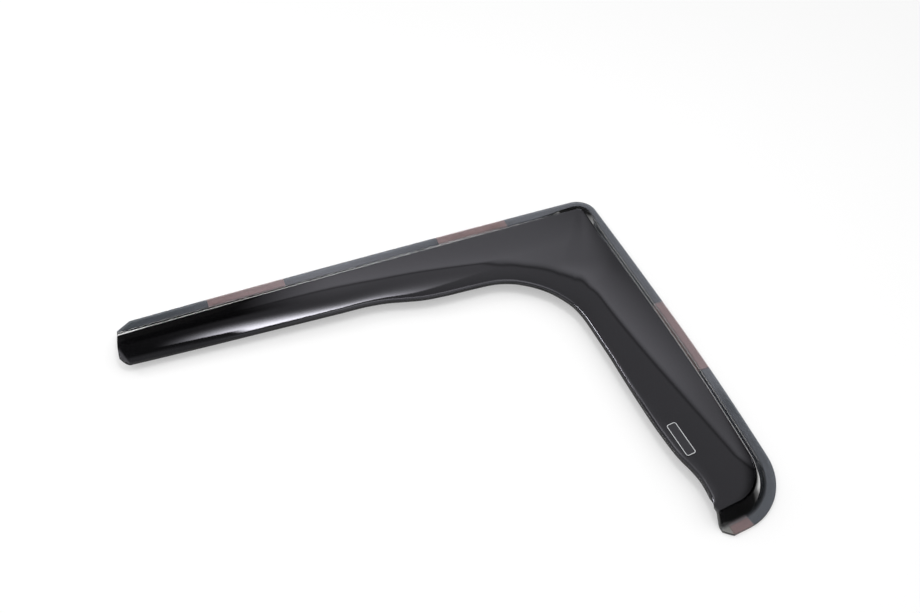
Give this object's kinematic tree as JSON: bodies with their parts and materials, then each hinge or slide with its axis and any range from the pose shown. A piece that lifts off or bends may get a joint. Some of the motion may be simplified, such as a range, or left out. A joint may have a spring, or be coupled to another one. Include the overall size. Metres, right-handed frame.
{
  "type": "window rain deflector",
  "caption": "Smoke-tinted rain deflector for a front door window: moulded L-shaped visor with a taped mounting flange, a stepped ridge and a rolled free edge.",
  "frame": {"origin": "centre of the bounding box in X and Y, on the plane of the tape liners' undersides, where the part meets the door frame", "axes": "+Z away from the door, out of the visor's outer face; X along the long leg (top of the window), rear end at -X; the pillar leg runs toward -Y from the corner at +X"},
  "size_m": [0.5754, 0.4698, 0.0235],
  "materials": {
    "smoke_acrylic": "gloss",
    "foam_tape": "matte",
    "tape_liner": "satin",
    "label_plate": "satin"
  },
  "bodies": {
    "root": {"visor_shell": "smoke_acrylic", "tape_long_rear": "foam_tape", "liner_long_rear": "tape_liner", "tape_long_front": "foam_tape", "liner_long_front": "tape_liner", "tape_pillar": "foam_tape", "liner_pillar": "tape_liner", "tape_toe": "foam_tape", "liner_toe": "tape_liner", "label": "label_plate"}
  },
  "joints": []
}
